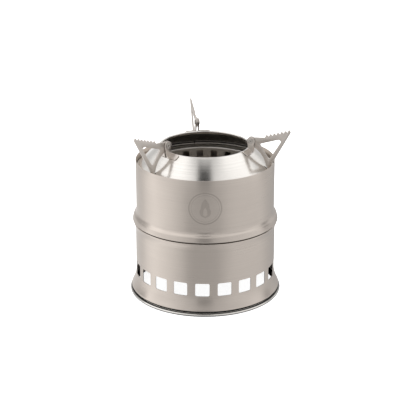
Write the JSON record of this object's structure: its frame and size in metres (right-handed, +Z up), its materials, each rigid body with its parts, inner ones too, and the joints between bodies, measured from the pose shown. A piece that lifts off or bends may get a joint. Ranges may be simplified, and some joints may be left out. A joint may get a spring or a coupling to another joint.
{
  "type": "wood camp stove",
  "caption": "Wood-burning camp stove: double-walled steel chamber on a vented base, with a domed pot ring and folding toothed pot supports.",
  "frame": {"origin": "on the vertical axis of the stove, at the level its foot ring stands on", "axes": "+Z up along the axis of the body; -Y is the front; +X to the right seen from the front; pot support 1 is 20 degrees towards the front from +X"},
  "size_m": [0.1584, 0.1623, 0.1755],
  "materials": {
    "brushed_steel": "stainless sheet brushed round the wall",
    "polished_steel": "polished stainless sheet, softly blurred reflections",
    "inner_steel": "dull stainless sheet, warm grey",
    "wire_steel": "bright drawn stainless wire",
    "ear_steel": "satin stamped stainless",
    "rivet_steel": "bright hollow rivet",
    "support_steel": "satin stamped stainless with bright cut edges"
  },
  "bodies": {
    "base": {"foot_ring": "polished_steel", "lower_wall": "brushed_steel", "pan_ledge": "inner_steel"},
    "ash_pan": {"ash_pan": "inner_steel"},
    "upper_section": {"outer_wall": "brushed_steel", "fire_chamber": "inner_steel", "spacer_ring": "inner_steel", "centring_ring": "wire_steel"},
    "grate": {"grate": "inner_steel"},
    "pot_ring": {"pot_ring": "polished_steel", "hinge_ear_1_left": "ear_steel", "hinge_ear_1_right": "ear_steel", "hinge_ear_2_left": "ear_steel", "hinge_ear_2_right": "ear_steel", "hinge_ear_3_left": "ear_steel", "hinge_ear_3_right": "ear_steel", "rivet_1": "rivet_steel", "rivet_2": "rivet_steel", "rivet_3": "rivet_steel"},
    "pot_support_1": {"pot_support_1": "support_steel"},
    "pot_support_2": {"pot_support_2": "support_steel"},
    "pot_support_3": {"pot_support_3": "support_steel"}
  },
  "joints": [
    {"name": "ash_pan_lift", "type": "slide", "parent": "base", "child": "ash_pan", "axis": [0, 0, 1], "range_m": [0, 0.014]},
    {"name": "upper_section_lift", "type": "slide", "parent": "base", "child": "upper_section", "axis": [0, 0, 1], "range_m": [0, 0.12]},
    {"name": "grate_lift", "type": "slide", "parent": "upper_section", "child": "grate", "axis": [0, 0, 1], "range_m": [0, 0.062]},
    {"name": "pot_ring_lift", "type": "slide", "parent": "upper_section", "child": "pot_ring", "axis": [0, 0, 1], "range_m": [0, 0.08]},
    {"name": "pot_support_1_hinge", "type": "hinge", "parent": "pot_ring", "child": "pot_support_1", "pos_m": [0.04482, -0.01631, 0.1609], "axis": [-0.342, -0.9397, 0], "range_deg": [0, 200]},
    {"name": "pot_support_2_hinge", "type": "hinge", "parent": "pot_ring", "child": "pot_support_2", "pos_m": [-0.00828, 0.04698, 0.1609], "axis": [0.9848, 0.1736, 0], "range_deg": [0, 200]},
    {"name": "pot_support_3_hinge", "type": "hinge", "parent": "pot_ring", "child": "pot_support_3", "pos_m": [-0.03654, -0.03066, 0.1609], "axis": [-0.6428, 0.766, 0], "range_deg": [0, 200]}
  ]
}
